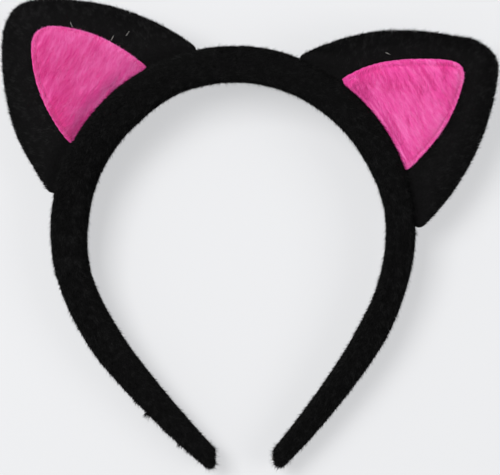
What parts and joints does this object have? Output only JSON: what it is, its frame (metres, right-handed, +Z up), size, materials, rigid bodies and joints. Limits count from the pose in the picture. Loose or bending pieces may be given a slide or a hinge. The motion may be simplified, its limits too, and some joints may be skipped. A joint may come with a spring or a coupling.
{
  "type": "animal ears headband",
  "caption": "Sprung, padded plush headband with a pair of upright plush cat ears, each with a coloured inner panel.",
  "frame": {"origin": "middle of the band's inner face at the crown, where it rests on the head", "axes": "+Z up from the head through the crown, +X to the right seen from the front, -Y the way the ears' coloured panels face"},
  "size_m": [0.1931, 0.019, 0.1889],
  "materials": {
    "black_plush": "short-pile black plush, brushed, matt",
    "pink_plush": "medium-pile bright pink plush with a visible nap",
    "band_plastic": "moulded black polypropylene strip",
    "band_foam": "open-cell grey foam",
    "wadding": "white polyester wadding",
    "felt": "pressed dark felt",
    "pink_thread": "spun polyester sewing thread",
    "black_thread": "spun polyester sewing thread",
    "hot_glue": "set hot-melt glue, satin"
  },
  "bodies": {
    "crown": {"crown_core": "band_plastic", "crown_foam": "band_foam", "crown_sleeve": "black_plush", "crown_seam": "black_thread"},
    "left_arm": {"left_arm_core": "band_plastic", "left_arm_foam": "band_foam", "left_arm_sleeve": "black_plush", "left_arm_seam": "black_thread", "left_tip_fold": "black_plush", "left_ear_glue_bead": "hot_glue", "left_ear_base_hem": "black_plush"},
    "right_arm": {"right_arm_core": "band_plastic", "right_arm_foam": "band_foam", "right_arm_sleeve": "black_plush", "right_arm_seam": "black_thread", "right_tip_fold": "black_plush", "right_ear_glue_bead": "hot_glue", "right_ear_base_hem": "black_plush"},
    "left_ear": {"left_ear_stiffener": "felt", "left_ear_front_wadding": "wadding", "left_ear_back_wadding": "wadding", "left_ear_front_panel": "black_plush", "left_ear_back_panel": "black_plush", "left_ear_seam_allowance": "black_plush", "left_ear_inner_panel": "pink_plush", "left_ear_inner_stitching": "pink_thread"},
    "right_ear": {"right_ear_stiffener": "felt", "right_ear_front_wadding": "wadding", "right_ear_back_wadding": "wadding", "right_ear_front_panel": "black_plush", "right_ear_back_panel": "black_plush", "right_ear_seam_allowance": "black_plush", "right_ear_inner_panel": "pink_plush", "right_ear_inner_stitching": "pink_thread"}
  },
  "joints": [
    {"name": "left_arm_flex", "type": "hinge", "parent": "crown", "child": "left_arm", "pos_m": [-0.00654, 0, 0.00256], "axis": [0, 1, 0], "range_deg": [-3, 15], "stiffness_Nm_per_rad": 0.8},
    {"name": "right_arm_flex", "type": "hinge", "parent": "crown", "child": "right_arm", "pos_m": [0.01935, 0, -0.00016], "axis": [0, -1, 0], "range_deg": [-3, 15], "stiffness_Nm_per_rad": 0.8},
    {"name": "left_ear_tilt", "type": "hinge", "parent": "left_arm", "child": "left_ear", "pos_m": [-0.04979, 0, -0.00242], "axis": [0.7547, 0, 0.6561], "range_deg": [-25, 25], "stiffness_Nm_per_rad": 0.06},
    {"name": "right_ear_tilt", "type": "hinge", "parent": "right_arm", "child": "right_ear", "pos_m": [0.06437, 0, -0.01948], "axis": [0.5299, 0, -0.848], "range_deg": [-25, 25], "stiffness_Nm_per_rad": 0.06}
  ]
}
